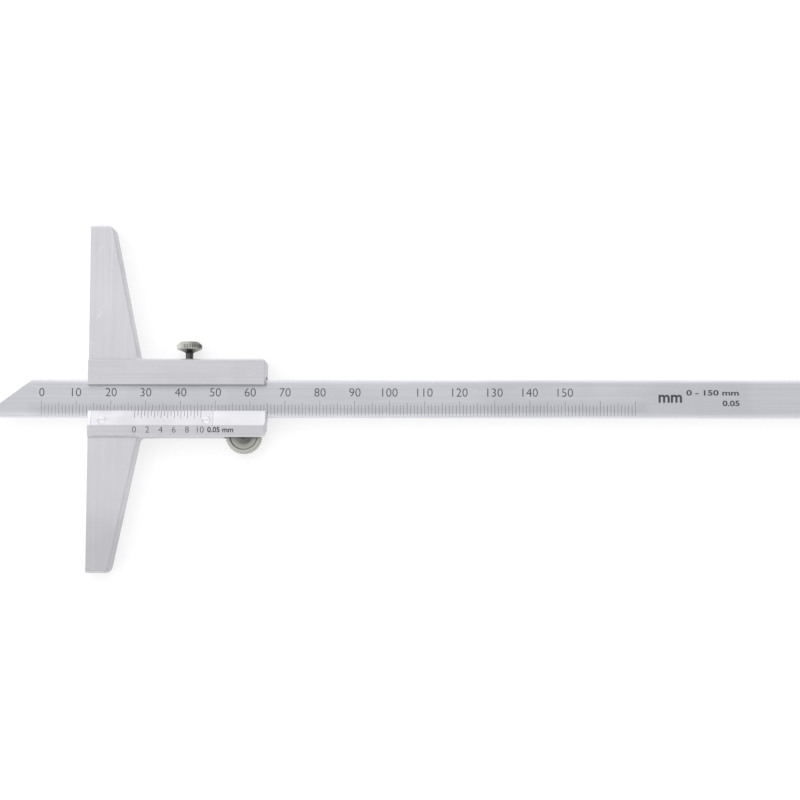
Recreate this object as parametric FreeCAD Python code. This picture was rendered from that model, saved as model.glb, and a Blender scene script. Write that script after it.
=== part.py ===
"""Vernier depth gauge: a T-shaped base and slider, with a graduated beam that slides through it.

Millimetres. The gauge lies on its back, as it does in a case.
X runs along the beam, away from the measuring face, which is the plane X = 0.
Y runs along the base, with Y = 0 on the centre line of the beam.
Z points out of the graduated front, and the back of the base is the plane Z = 0.
"""

import FreeCAD
import Part
import math
import os

V = FreeCAD.Vector

# Beam: the graduated bar that goes down into the hole
BEAM_LENGTH = 240.0
BEAM_WIDTH = 10.7
BEAM_THICKNESS = 3.5
BEAM_EDGE_BREAK = 0.3
BEAM_END_CHAMFER = 0.6
TIP_FLAT = 2.85
TIP_SLOPE_LENGTH = 10.7
READING = 27.0

# Main scale, engraved in the front of the beam
SCALE_LENGTH = 170
SCALE_ZERO_FROM_TIP = 13.5
SCALE_MARGIN = 0.45
LINE_WIDTH = 0.1
LINE_DEPTH = 0.06
SHORT_LINE = 3.0
MIDDLE_LINE = 3.6
LONG_LINE = 4.2

# Vernier scale: twenty divisions that together measure nineteen millimetres
VERNIER_DIVISIONS = 20
VERNIER_SPAN = 19.0
VERNIER_SHORT_LINE = 1.7
VERNIER_LONG_LINE = 2.3

# Base: two tapered wings behind one flat measuring face
BASE_LENGTH = 100.0
BASE_THICKNESS = 6.5
WING_ROOT = 14.6
WING_TIP = 6.5
WING_TIP_RADIUS = 2.2
WING_ROOT_RADIUS = 1.6
WING_FRONT_CHAMFER = 0.5
WING_BACK_CHAMFER = 0.3

# Slider: the block on the base that guides the beam
SLIDER_LENGTH = 51.0
SLIDER_WIDTH = 22.4
SLIDER_THICKNESS = 7.5
SLIDER_CORNER = 1.2
SLIDER_CHAMFER = 0.4
BACK_WALL = 2.2
UPPER_LIP_COVER = 1.7
LOWER_LIP_COVER = 1.75
LIP_EDGE_BREAK = 0.25
BEVEL_WIDTH = 4.25
BEVEL_EDGE = 0.3

# Running clearances and fits
BEAM_FACE_PLAY = 0.05
BEAM_EDGE_PLAY = 0.05
THREAD_PLAY = 0.03
PIN_PLAY = 0.03
SCREW_TIP_PLAY = 0.05

# Vernier plate, let into the bevel and held by two screws
PLATE_START = 1.0
PLATE_END_FROM_ROLLER = 8.6
PLATE_END_PLAY = 0.03
PLATE_SCREW_LEFT_INSET = 3.1
PLATE_SCREW_RIGHT_INSET = 1.9
PLATE_SCREW_FROM_SHOULDER = 1.4
PLATE_SCREW_DIAMETER = 1.2
PLATE_SCREW_DEPTH = 2.4
PLATE_SCREW_HEAD = 2.2
PLATE_SCREW_HEAD_HEIGHT = 0.75
PLATE_UNDER_HEAD = 0.55

# Gib: the strip that takes up the play between beam and slider
GIB_THICKNESS = 0.8
GIB_GAP = 0.1
GIB_END_INSET = 1.5
GIB_HEIGHT = 3.4
GIB_PIT_DEPTH = 0.3
GIB_SCREW_DIAMETER = 2.0
GIB_SCREW_SUNK = 0.5
GIB_SCREW_POINT = 1.1
GIB_SCREW_FRONT_X = 19.0
GIB_SCREW_REAR_FROM_END = 8.0

# Screwdriver slots
DRIVER_SLOT_WIDTH = 0.35
DRIVER_SLOT_DEPTH = 0.35

# Lock screw on the slider's upper edge
LOCK_SCREW_X = 28.7
LOCK_THREAD_DIAMETER = 2.5
LOCK_NECK_DIAMETER = 2.2
LOCK_NECK_LENGTH = 2.2
LOCK_NECK_BLEND = 0.35
LOCK_POINT_CHAMFER = 0.3
LOCK_HEAD_DIAMETER = 7.2
LOCK_HEAD_FLARE = 0.7
LOCK_HEAD_RIM = 1.6
LOCK_HEAD_CROWN = 0.6
LOCK_HEAD_TEETH = 30
LOCK_HEAD_TOOTH = 0.28

# Thumb roller under the slider's lower edge
ROLLER_DIAMETER = 10.5
ROLLER_FROM_END = 6.4
ROLLER_THICKNESS = 3.4
ROLLER_TEETH = 40
ROLLER_TOOTH = 0.32
ROLLER_DISH_DIAMETER = 8.2
ROLLER_DISH_DEPTH = 0.35
ROLLER_EDGE_CHAMFER = 0.35
ROLLER_PLAY = 0.05
ROLLER_POCKET_PLAY = 0.4
POCKET_CORNER_WALL = 0.9

# Axle, clip and flat spring that carry the roller
AXLE_DIAMETER = 2.0
AXLE_SHOULDER_DIAMETER = 3.4
AXLE_SHOULDER_HEIGHT = 0.3
AXLE_RIVET_DIAMETER = 1.6
AXLE_RIVET_HEAD = 2.6
AXLE_RIVET_HEIGHT = 0.35
AXLE_END = 0.1
AXLE_EDGE_BREAK = 0.15
CLIP_DIAMETER = 3.6
CLIP_THICKNESS = 0.4
SPRING_THICKNESS = 0.6
SPRING_LENGTH = 12.0
SPRING_WIDTH = 3.8
SPRING_ARM_WIDTH = 2.4
SPRING_EYE_RADIUS = 2.3
SPRING_EDGE_GAP = 0.4
SPRING_STEP_FROM_WING = 3.5
SPRING_STEP_RAIL = 1.2
SPRING_SCREW_INSET = 2.8
SPRING_SCREW_DIAMETER = 1.6
SPRING_SCREW_DEPTH = 2.6
SPRING_SCREW_HEAD = 2.8
SPRING_SCREW_HEAD_HEIGHT = 0.6
SPRING_SUNK = 0.05

# Places that follow from the sizes above
BEAM_HALF = BEAM_WIDTH / 2
BEAM_BACK_Z = BACK_WALL + BEAM_FACE_PLAY
BEAM_FRONT_Z = BEAM_BACK_Z + BEAM_THICKNESS
LIP_Z = BEAM_FRONT_Z + BEAM_FACE_PLAY
TIP_X = -READING
SLOT_BOTTOM_Y = -(BEAM_HALF + BEAM_EDGE_PLAY)
GIB_Y = BEAM_HALF + BEAM_EDGE_PLAY
GIB_BACK_Y = GIB_Y + GIB_THICKNESS
SLOT_TOP_Y = GIB_BACK_Y + GIB_GAP
UPPER_LIP_Y = BEAM_HALF - UPPER_LIP_COVER
LOWER_LIP_Y = -(BEAM_HALF - LOWER_LIP_COVER)
SHOULDER_Y = LOWER_LIP_Y - BEVEL_WIDTH
SLIDER_HALF = SLIDER_WIDTH / 2
BASE_HALF = BASE_LENGTH / 2
SCREW_Z = (BACK_WALL + LIP_Z) / 2
VERNIER_ZERO_X = SCALE_ZERO_FROM_TIP
BEVEL_RISE = SLIDER_THICKNESS - LIP_Z - BEVEL_EDGE
BEVEL_ANGLE = math.degrees(math.atan2(BEVEL_RISE, BEVEL_WIDTH))
PLATE_SCREW_Y = SHOULDER_Y + PLATE_SCREW_FROM_SHOULDER
SPRING_BACK_Z = SPRING_SUNK + SPRING_SCREW_HEAD_HEIGHT
SPRING_FRONT_Z = SPRING_BACK_Z + SPRING_THICKNESS
GIB_SCREW_REAR_X = SLIDER_LENGTH - GIB_SCREW_REAR_FROM_END
ROLLER_RADIUS = ROLLER_DIAMETER / 2
ROLLER_X = SLIDER_LENGTH - ROLLER_FROM_END
PLATE_LENGTH = ROLLER_X - PLATE_END_FROM_ROLLER - PLATE_START
ROLLER_Y = -(BEAM_HALF + ROLLER_PLAY + ROLLER_RADIUS)
ROLLER_Z = SPRING_FRONT_Z + AXLE_SHOULDER_HEIGHT + ROLLER_PLAY
SPRING_MIDDLE_Y = -SLIDER_HALF + SPRING_EDGE_GAP + SPRING_WIDTH / 2
SPRING_STEP_X = WING_ROOT + SPRING_STEP_FROM_WING
SPRING_START_X = SPRING_STEP_X + SPRING_EDGE_GAP

# Long enough to cut right through anything on the gauge
THROUGH = BASE_LENGTH + BEAM_LENGTH

# A knurled rim is turned this much over size, so that its teeth keep their points
KNURL_STOCK = 0.01

# Points nearer to each other than this are one point
SAME_POINT = 0.0001


# Shared shapes

def prism(points, direction):
    """The flat outline through the points, swept along the direction."""
    wire = Part.makePolygon(points + [points[0]])
    return Part.Face(wire).extrude(direction)


def plan(points, low, high):
    """An outline seen from the front, swept from one height to another."""
    return prism([V(x, y, low) for x, y in points], V(0, 0, high - low))


def box(x, y, z):
    """A block between two values along each axis."""
    size = [abs(pair[1] - pair[0]) for pair in (x, y, z)]
    return Part.makeBox(size[0], size[1], size[2], V(min(x), min(y), min(z)))


def rod(diameter, start, end):
    """A round rod from one point to another."""
    axis = end - start
    return Part.makeCylinder(diameter / 2, axis.Length, start, axis)


def turned(profile, origin, axis):
    """A turned piece: (radius, distance) points spun about an axis from the origin."""
    points = [V(radius, 0, distance) for radius, distance in profile]
    face = Part.Face(Part.makePolygon(points + [points[0]]))
    solid = face.revolve(V(0, 0, 0), V(0, 0, 1), 360)
    solid.Placement = FreeCAD.Placement(origin, FreeCAD.Rotation(V(0, 0, 1), axis))
    return solid


def rounded_corner(before, corner, after, radius):
    """The arc that rounds one corner of an outline, as two points and a middle one."""
    back = (before - corner).normalize()
    ahead = (after - corner).normalize()
    half_angle = back.getAngle(ahead) / 2
    reach = radius / math.tan(half_angle)
    middle_line = (back + ahead).normalize()
    centre = corner + middle_line * (radius / math.sin(half_angle))
    return corner + back * reach, centre - middle_line * radius, corner + ahead * reach


def rounded_face(points):
    """A flat face at Z = 0 through (x, y, corner radius) points, in order."""
    places = [V(x, y, 0) for x, y, radius in points]
    radii = [point[2] for point in points]
    edges = []
    first = None
    last = None
    for number, corner in enumerate(places):
        before = places[number - 1]
        after = places[(number + 1) % len(places)]
        if radii[number] > 0:
            start, middle, end = rounded_corner(before, corner, after, radii[number])
        else:
            start, middle, end = corner, None, corner
        if last is not None and last.distanceToPoint(start) > SAME_POINT:
            edges.append(Part.LineSegment(last, start).toShape())
        if middle is not None:
            edges.append(Part.Arc(start, middle, end).toShape())
        if first is None:
            first = start
        last = end
    edges.append(Part.LineSegment(last, first).toShape())
    return Part.Face(Part.Wire(edges))


def knurled_prism(diameter, tooth, teeth, height):
    """A straight-knurled disc from Z = 0 up, with pointed teeth around its rim."""
    crest = diameter / 2
    points = []
    for number in range(2 * teeth):
        radius = crest if number % 2 == 0 else crest - tooth
        angle = math.pi * number / teeth
        points.append((radius * math.cos(angle), radius * math.sin(angle)))
    return plan(points, 0, height)


def without(shape, cutters):
    """The shape with every cutter taken out of it."""
    return shape.cut(Part.makeCompound(cutters))


# Beam

def beam_section():
    """The beam's cross-section: a bar with its four long edges broken."""
    half = BEAM_HALF
    brk = BEAM_EDGE_BREAK
    corners = [(-half, BEAM_BACK_Z + brk), (-half, BEAM_FRONT_Z - brk), (-half + brk, BEAM_FRONT_Z),
               (half - brk, BEAM_FRONT_Z), (half, BEAM_FRONT_Z - brk), (half, BEAM_BACK_Z + brk),
               (half - brk, BEAM_BACK_Z), (-half + brk, BEAM_BACK_Z)]
    return [V(TIP_X, y, z) for y, z in corners]


def beam_outline():
    """The beam from the front: a sloped nose with a flat tip, and a plain far end."""
    end_x = TIP_X + BEAM_LENGTH
    half = BEAM_HALF
    cut = BEAM_END_CHAMFER
    return [(TIP_X, -half), (end_x - cut, -half), (end_x, -half + cut), (end_x, half - cut),
            (end_x - cut, half), (TIP_X + TIP_SLOPE_LENGTH, half), (TIP_X, -half + TIP_FLAT)]


def main_scale_grooves():
    """One groove for each millimetre, longer at each fifth and each tenth."""
    zero_x = TIP_X + SCALE_ZERO_FROM_TIP
    start_y = -BEAM_HALF + SCALE_MARGIN
    grooves = []
    for millimetre in range(SCALE_LENGTH + 1):
        length = SHORT_LINE
        if millimetre % 5 == 0:
            length = MIDDLE_LINE
        if millimetre % 10 == 0:
            length = LONG_LINE
        x = zero_x + millimetre
        grooves.append(box((x - LINE_WIDTH / 2, x + LINE_WIDTH / 2), (start_y, start_y + length),
                           (BEAM_FRONT_Z - LINE_DEPTH, BEAM_FRONT_Z + LINE_DEPTH)))
    return grooves


def make_beam():
    bar = prism(beam_section(), V(BEAM_LENGTH, 0, 0))
    blank = bar.common(plan(beam_outline(), 0, SLIDER_THICKNESS))
    return without(blank, main_scale_grooves())


# Base and slider, milled from one piece

def slider_section():
    """The slider's cross-section: a slot for beam and gib under two lips, the lower one bevelled."""
    top = SLIDER_THICKNESS
    corners = [(-SLIDER_HALF, 0), (SLIDER_HALF, 0),
               (SLIDER_HALF, top - SLIDER_CHAMFER), (SLIDER_HALF - SLIDER_CHAMFER, top),
               (UPPER_LIP_Y + LIP_EDGE_BREAK, top), (UPPER_LIP_Y, top - LIP_EDGE_BREAK),
               (UPPER_LIP_Y, LIP_Z), (SLOT_TOP_Y, LIP_Z),
               (SLOT_TOP_Y, BACK_WALL), (SLOT_BOTTOM_Y, BACK_WALL),
               (SLOT_BOTTOM_Y, LIP_Z), (LOWER_LIP_Y, LIP_Z), (LOWER_LIP_Y, LIP_Z + BEVEL_EDGE),
               (SHOULDER_Y, top), (-SLIDER_HALF + SLIDER_CHAMFER, top),
               (-SLIDER_HALF, top - SLIDER_CHAMFER)]
    return [V(0, y, z) for y, z in corners]


def slider_block():
    """The slider alone: its section along X, with the free end rounded and chamfered."""
    bar = prism(slider_section(), V(SLIDER_LENGTH, 0, 0))
    corners = [(0, -SLIDER_HALF, 0), (SLIDER_LENGTH, -SLIDER_HALF, SLIDER_CORNER),
               (SLIDER_LENGTH, SLIDER_HALF, SLIDER_CORNER), (0, SLIDER_HALF, 0)]
    from_front = rounded_face(corners).extrude(V(0, 0, SLIDER_THICKNESS))
    side = [V(0, -SLIDER_HALF, 0), V(SLIDER_LENGTH, -SLIDER_HALF, 0),
            V(SLIDER_LENGTH, -SLIDER_HALF, SLIDER_THICKNESS - SLIDER_CHAMFER),
            V(SLIDER_LENGTH - SLIDER_CHAMFER, -SLIDER_HALF, SLIDER_THICKNESS),
            V(0, -SLIDER_HALF, SLIDER_THICKNESS)]
    from_side = prism(side, V(0, SLIDER_WIDTH, 0))
    return bar.common(from_front).common(from_side)


def upper_wing():
    """One wing: it tapers from the slider to a rounded tip, with its back edges chamfered."""
    root_y = (SLOT_TOP_Y + SLIDER_HALF) / 2
    root = V(WING_ROOT, SLIDER_HALF, 0)
    tip = V(WING_TIP, BASE_HALF, 0)
    foot_x = rounded_corner(root + V(1, 0, 0), root, tip, WING_ROOT_RADIUS)[0].x
    outline = rounded_face([(0, root_y, 0), (foot_x, root_y, 0), (foot_x, SLIDER_HALF, 0),
                            (WING_ROOT, SLIDER_HALF, WING_ROOT_RADIUS),
                            (WING_TIP, BASE_HALF, WING_TIP_RADIUS), (0, BASE_HALF, 0)])
    wing = outline.extrude(V(0, 0, BASE_THICKNESS))
    wing = wing.makeChamfer(WING_FRONT_CHAMFER, free_edges(wing, BASE_THICKNESS))
    return wing.makeChamfer(WING_BACK_CHAMFER, free_edges(wing, 0))


def free_edges(wing, z):
    """The wing's edges at one height that face neither the measured part nor the slider."""
    found = []
    for edge in wing.Edges:
        centre = edge.CenterOfMass
        at_height = abs(edge.BoundBox.ZMin - z) < SAME_POINT and edge.BoundBox.ZLength < SAME_POINT
        if at_height and centre.x > SAME_POINT and centre.y > SLIDER_HALF + SAME_POINT:
            found.append(edge)
    return found


def plate_seat():
    """The pocket in the bevel that the vernier plate lies in."""
    return box((PLATE_START - PLATE_END_PLAY, PLATE_START + PLATE_LENGTH + PLATE_END_PLAY),
               (SHOULDER_Y, LOWER_LIP_Y), (LIP_Z, SLIDER_THICKNESS))


def roller_pocket():
    """The round pocket for the roller, behind the front plate, open at back and below."""
    bore = 2 * (ROLLER_RADIUS + ROLLER_POCKET_PLAY)
    round_part = rod(bore, V(ROLLER_X, ROLLER_Y, 0), V(ROLLER_X, ROLLER_Y, LIP_Z))
    wall_x = SLIDER_LENGTH - POCKET_CORNER_WALL
    wall_reach = wall_x - ROLLER_X
    wall_rise = math.sqrt(max((bore / 2) ** 2 - wall_reach ** 2, 0))
    corner = box((ROLLER_X, THROUGH), (ROLLER_Y + wall_rise, -THROUGH), (0, LIP_Z))
    return [round_part, corner]


def spring_step():
    """The step milled along the lower back edge, deep enough for the spring and its screws."""
    return box((SPRING_STEP_X, THROUGH), (-THROUGH, SLOT_BOTTOM_Y - SPRING_STEP_RAIL),
               (0, SPRING_FRONT_Z))


def frame_screw_holes():
    """Tapped holes for the lock screw, the gib, the vernier plate and the spring."""
    holes = []
    for x, diameter in ((LOCK_SCREW_X, LOCK_THREAD_DIAMETER), (GIB_SCREW_FRONT_X, GIB_SCREW_DIAMETER),
                        (GIB_SCREW_REAR_X, GIB_SCREW_DIAMETER)):
        holes.append(rod(diameter + 2 * THREAD_PLAY, V(x, SLOT_TOP_Y, SCREW_Z), V(x, SLIDER_HALF, SCREW_Z)))
    for x in plate_screw_places():
        bottom = LIP_Z - PLATE_SCREW_DEPTH - THREAD_PLAY
        holes.append(rod(PLATE_SCREW_DIAMETER + 2 * THREAD_PLAY, V(x, PLATE_SCREW_Y, bottom),
                         V(x, PLATE_SCREW_Y, LIP_Z)))
    for x in spring_screw_places():
        top = SPRING_FRONT_Z + SPRING_SCREW_DEPTH + THREAD_PLAY
        holes.append(rod(SPRING_SCREW_DIAMETER + 2 * THREAD_PLAY, V(x, SPRING_MIDDLE_Y, SPRING_FRONT_Z),
                         V(x, SPRING_MIDDLE_Y, top)))
    return holes


def make_slider_frame():
    wing = upper_wing()
    other_wing = wing.mirror(V(0, 0, 0), V(0, 1, 0))
    blank = slider_block().fuse([wing, other_wing]).removeSplitter()
    cutters = [plate_seat(), spring_step()] + roller_pocket() + frame_screw_holes()
    return without(blank, cutters)


# Vernier plate and its screws

def plate_screw_places():
    """Where the two screws stand along the vernier plate."""
    return [PLATE_START + PLATE_SCREW_LEFT_INSET, PLATE_START + PLATE_LENGTH - PLATE_SCREW_RIGHT_INSET]


def vernier_grooves():
    """The vernier lines, engraved along the slope from its sharp edge."""
    pitch = VERNIER_SPAN / VERNIER_DIVISIONS
    edge_z = LIP_Z + BEVEL_EDGE
    grooves = []
    for division in range(VERNIER_DIVISIONS + 1):
        length = VERNIER_LONG_LINE if division % 2 == 0 else VERNIER_SHORT_LINE
        x = VERNIER_ZERO_X + division * pitch
        groove = box((x - LINE_WIDTH / 2, x + LINE_WIDTH / 2), (-length, 1), (-LINE_DEPTH, 1))
        groove.rotate(V(0, 0, 0), V(1, 0, 0), -BEVEL_ANGLE)
        groove.translate(V(0, LOWER_LIP_Y, edge_z))
        grooves.append(groove)
    return grooves


def make_vernier_plate():
    section = [(SHOULDER_Y, LIP_Z), (LOWER_LIP_Y, LIP_Z), (LOWER_LIP_Y, LIP_Z + BEVEL_EDGE),
               (SHOULDER_Y, SLIDER_THICKNESS)]
    wedge = prism([V(PLATE_START, y, z) for y, z in section], V(PLATE_LENGTH, 0, 0))
    head_seat_z = LIP_Z + PLATE_UNDER_HEAD
    cutters = vernier_grooves()
    for x in plate_screw_places():
        cutters.append(rod(PLATE_SCREW_DIAMETER + 2 * THREAD_PLAY, V(x, PLATE_SCREW_Y, LIP_Z),
                           V(x, PLATE_SCREW_Y, head_seat_z)))
        cutters.append(rod(PLATE_SCREW_HEAD + 2 * THREAD_PLAY, V(x, PLATE_SCREW_Y, head_seat_z),
                           V(x, PLATE_SCREW_Y, SLIDER_THICKNESS)))
    return without(wedge, cutters)


def slotted_screw(head, head_height, shank, shank_length, seat, axis, slot_along):
    """A cheese-head screw: its head rises from the seat along the axis, its shank goes the other way."""
    top = seat + axis * head_height
    screw = rod(head, seat, top).fuse(rod(shank, seat, seat - axis * shank_length))
    across = axis.cross(slot_along)
    corner = top - axis * DRIVER_SLOT_DEPTH - across * (DRIVER_SLOT_WIDTH / 2) - slot_along * head
    outline = [corner, corner + slot_along * (2 * head),
               corner + slot_along * (2 * head) + across * DRIVER_SLOT_WIDTH,
               corner + across * DRIVER_SLOT_WIDTH]
    return screw.removeSplitter().cut(prism(outline, axis * head_height))


def make_vernier_screw(x):
    seat = V(x, PLATE_SCREW_Y, LIP_Z + PLATE_UNDER_HEAD)
    return slotted_screw(PLATE_SCREW_HEAD, PLATE_SCREW_HEAD_HEIGHT, PLATE_SCREW_DIAMETER,
                         PLATE_UNDER_HEAD + PLATE_SCREW_DEPTH, seat, V(0, 0, 1), V(1, 0, 0))


# Gib and its screws

def make_gib_strip():
    strip = box((GIB_END_INSET, SLIDER_LENGTH - GIB_END_INSET), (GIB_Y, GIB_BACK_Y),
                (BACK_WALL, BACK_WALL + GIB_HEIGHT))
    pits = []
    for x in (GIB_SCREW_FRONT_X, GIB_SCREW_REAR_X):
        pits.append(rod(GIB_SCREW_POINT + 2 * SCREW_TIP_PLAY, V(x, GIB_BACK_Y - GIB_PIT_DEPTH, SCREW_Z),
                        V(x, GIB_BACK_Y, SCREW_Z)))
    return without(strip, pits)


def make_gib_screw(x):
    tip_y = GIB_BACK_Y - GIB_PIT_DEPTH + SCREW_TIP_PLAY
    seat = V(x, SLOT_TOP_Y, SCREW_Z)
    length = SLIDER_HALF - GIB_SCREW_SUNK - SLOT_TOP_Y
    return slotted_screw(GIB_SCREW_DIAMETER, length, GIB_SCREW_POINT, SLOT_TOP_Y - tip_y,
                         seat, V(0, 1, 0), V(1, 0, 0))


# Lock screw

def make_lock_screw():
    thread = LOCK_THREAD_DIAMETER / 2
    neck = LOCK_NECK_DIAMETER / 2
    head = LOCK_HEAD_DIAMETER / 2 + KNURL_STOCK
    tip_y = GIB_BACK_Y + SCREW_TIP_PLAY
    thread_end = SLIDER_HALF - tip_y
    neck_end = thread_end + LOCK_NECK_LENGTH
    rim_start = neck_end + LOCK_HEAD_FLARE
    rim_end = rim_start + LOCK_HEAD_RIM
    crown = rim_end + LOCK_HEAD_CROWN
    inner = LOCK_HEAD_DIAMETER / 2 - LOCK_HEAD_TOOTH
    profile = [(0, 0), (thread - LOCK_POINT_CHAMFER, 0), (thread, LOCK_POINT_CHAMFER),
               (thread, thread_end - LOCK_NECK_BLEND), (neck, thread_end),
               (neck, neck_end - LOCK_NECK_BLEND), (neck + LOCK_NECK_BLEND, neck_end),
               (inner, rim_start), (head, rim_start + LOCK_HEAD_TOOTH),
               (head, rim_end - LOCK_HEAD_TOOTH), (inner, rim_end),
               (inner - LOCK_HEAD_CROWN, crown), (0, crown)]
    turned_blank = turned(profile, V(0, 0, 0), V(0, 0, 1))
    knurl = knurled_prism(LOCK_HEAD_DIAMETER, LOCK_HEAD_TOOTH, LOCK_HEAD_TEETH, crown)
    screw = turned_blank.common(knurl)
    screw.Placement = FreeCAD.Placement(V(LOCK_SCREW_X, tip_y, SCREW_Z),
                                        FreeCAD.Rotation(V(0, 0, 1), V(0, 1, 0)))
    return screw


# Thumb roller, its axle and its spring

def make_thumb_roller():
    crest = ROLLER_RADIUS + KNURL_STOCK
    edge = ROLLER_EDGE_CHAMFER
    bore = AXLE_DIAMETER / 2 + PIN_PLAY
    dish = ROLLER_DISH_DIAMETER / 2
    hub = AXLE_SHOULDER_DIAMETER / 2 + ROLLER_DISH_DEPTH
    top = ROLLER_THICKNESS
    deep = ROLLER_DISH_DEPTH
    profile = [(bore, 0), (crest - edge, 0), (crest, edge), (crest, top - edge), (crest - edge, top),
               (dish, top), (dish - deep, top - deep), (hub + deep, top - deep), (hub, top), (bore, top)]
    disc = turned(profile, V(0, 0, 0), V(0, 0, 1))
    roller = disc.common(knurled_prism(ROLLER_DIAMETER, ROLLER_TOOTH, ROLLER_TEETH, top))
    roller.translate(V(ROLLER_X, ROLLER_Y, ROLLER_Z))
    return roller


def make_roller_axle():
    clip_z = ROLLER_THICKNESS + 2 * ROLLER_PLAY
    shoulder = AXLE_SHOULDER_HEIGHT
    top = shoulder + clip_z + CLIP_THICKNESS + AXLE_END
    rivet = AXLE_RIVET_DIAMETER / 2
    head = AXLE_RIVET_HEAD / 2
    back = -SPRING_THICKNESS
    journal = AXLE_DIAMETER / 2
    brk = AXLE_EDGE_BREAK
    profile = [(0, back - AXLE_RIVET_HEIGHT), (head - 2 * brk, back - AXLE_RIVET_HEIGHT),
               (head, back - brk), (head, back), (rivet, back), (rivet, 0),
               (AXLE_SHOULDER_DIAMETER / 2, 0), (AXLE_SHOULDER_DIAMETER / 2, shoulder),
               (journal, shoulder), (journal, top - brk), (journal - brk, top), (0, top)]
    return turned(profile, V(ROLLER_X, ROLLER_Y, SPRING_FRONT_Z), V(0, 0, 1))


def make_roller_clip():
    low = ROLLER_Z + ROLLER_THICKNESS + ROLLER_PLAY
    centre = V(ROLLER_X, ROLLER_Y, low)
    ring = rod(CLIP_DIAMETER, centre, centre + V(0, 0, CLIP_THICKNESS))
    return ring.cut(rod(AXLE_DIAMETER + 2 * PIN_PLAY, centre, centre + V(0, 0, CLIP_THICKNESS)))


def spring_screw_places():
    """Where the two screws stand along the fixed end of the spring."""
    return [SPRING_START_X + SPRING_SCREW_INSET, SPRING_START_X + SPRING_LENGTH - SPRING_SCREW_INSET]


def make_roller_spring():
    half = SPRING_WIDTH / 2
    arm = SPRING_ARM_WIDTH / 2
    fixed_end = SPRING_START_X + SPRING_LENGTH
    corner = half / 2
    fixed = rounded_face([(SPRING_START_X, SPRING_MIDDLE_Y - half, corner),
                          (fixed_end, SPRING_MIDDLE_Y - half, corner),
                          (fixed_end, SPRING_MIDDLE_Y + half, corner),
                          (SPRING_START_X, SPRING_MIDDLE_Y + half, corner)])
    fixed = fixed.extrude(V(0, 0, SPRING_THICKNESS))
    reach = plan([(fixed_end - half, SPRING_MIDDLE_Y - arm), (ROLLER_X, ROLLER_Y - arm),
                  (ROLLER_X, ROLLER_Y + arm), (fixed_end - half, SPRING_MIDDLE_Y + arm)],
                 0, SPRING_THICKNESS)
    eye = rod(2 * SPRING_EYE_RADIUS, V(ROLLER_X, ROLLER_Y, 0), V(ROLLER_X, ROLLER_Y, SPRING_THICKNESS))
    strip = fixed.fuse([reach, eye]).removeSplitter()
    holes = [rod(AXLE_RIVET_DIAMETER + 2 * PIN_PLAY, V(ROLLER_X, ROLLER_Y, 0),
                 V(ROLLER_X, ROLLER_Y, SPRING_THICKNESS))]
    for x in spring_screw_places():
        holes.append(rod(SPRING_SCREW_DIAMETER + 2 * THREAD_PLAY, V(x, SPRING_MIDDLE_Y, 0),
                         V(x, SPRING_MIDDLE_Y, SPRING_THICKNESS)))
    strip = without(strip, holes)
    strip.translate(V(0, 0, SPRING_BACK_Z))
    return strip


def make_spring_screw(x):
    seat = V(x, SPRING_MIDDLE_Y, SPRING_BACK_Z)
    return slotted_screw(SPRING_SCREW_HEAD, SPRING_SCREW_HEAD_HEIGHT, SPRING_SCREW_DIAMETER,
                         SPRING_THICKNESS + SPRING_SCREW_DEPTH, seat, V(0, 0, -1), V(1, 0, 0))


# All the pieces

def make_parts():
    """Every separate piece of the gauge, by name."""
    plate_left, plate_right = plate_screw_places()
    spring_left, spring_right = spring_screw_places()
    return {
        "slider_frame": make_slider_frame(),
        "beam": make_beam(),
        "vernier_plate": make_vernier_plate(),
        "vernier_screw_left": make_vernier_screw(plate_left),
        "vernier_screw_right": make_vernier_screw(plate_right),
        "gib_strip": make_gib_strip(),
        "gib_screw_front": make_gib_screw(GIB_SCREW_FRONT_X),
        "gib_screw_rear": make_gib_screw(GIB_SCREW_REAR_X),
        "lock_screw": make_lock_screw(),
        "thumb_roller": make_thumb_roller(),
        "roller_axle": make_roller_axle(),
        "roller_clip": make_roller_clip(),
        "roller_spring": make_roller_spring(),
        "spring_screw_left": make_spring_screw(spring_left),
        "spring_screw_right": make_spring_screw(spring_right),
    }


def one_solid(name, shape):
    """The shape as a single valid solid."""
    if len(shape.Solids) != 1 or not shape.isValid():
        raise ValueError(f"{name}: {len(shape.Solids)} solids, valid {shape.isValid()}")
    return shape.Solids[0]


def main():
    os.makedirs("parts", exist_ok=True)
    for name, shape in make_parts().items():
        solid = one_solid(name, shape)
        solid.exportStep(f"parts/{name}.step")
        reach = solid.BoundBox
        print(f"{name}: {solid.Volume:.1f} mm3, {len(solid.Faces)} faces, "
              f"X {reach.XMin:.2f}..{reach.XMax:.2f}, Y {reach.YMin:.2f}..{reach.YMax:.2f}, "
              f"Z {reach.ZMin:.2f}..{reach.ZMax:.2f}")


main()
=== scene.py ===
# %% [markdown]
# # A vernier depth gauge in satin steel
#
# The measured model of the gauge is loaded first, piece by piece, at its real size.
# The cells after it give every piece its finish, fill the engraved scales with ink, add the
# numbers, and light the gauge as it lies on its back, seen from above.

# %% Load the measured model
import math
import bmesh
import bpy
from mathutils import Matrix, Vector


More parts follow.
